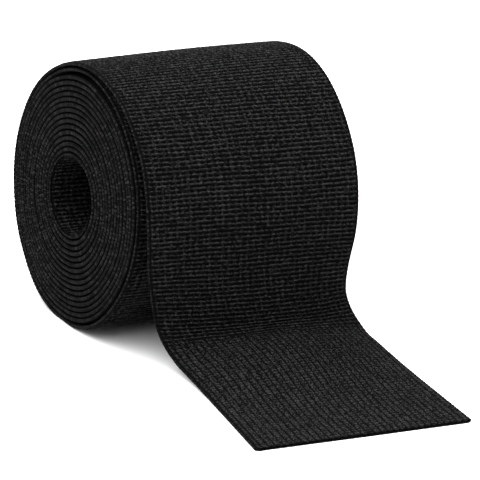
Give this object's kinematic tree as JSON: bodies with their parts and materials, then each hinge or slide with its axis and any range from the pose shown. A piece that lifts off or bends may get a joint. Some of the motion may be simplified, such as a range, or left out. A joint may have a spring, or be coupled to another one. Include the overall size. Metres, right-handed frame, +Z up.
{
  "type": "roll of elastic",
  "caption": "Wide black knitted elastic wound on itself into a coreless roll, its loose end coming off the front and lying flat to a straight cut.",
  "frame": {"origin": "centre of the small flat spot under the wound roll, on the surface that it rests on", "axes": "+X along the roll's axis, from the end face with the loose turns in view to the other end; -Y the way the loose end runs out; +Z up"},
  "size_m": [0.0863, 0.1478, 0.0866],
  "materials": {
    "elastic": "matte black knitted elastic, crosswise stitch courses, smooth selvedges"
  },
  "bodies": {
    "root": {"wound_roll": "elastic", "loose_end": "elastic"}
  },
  "joints": []
}
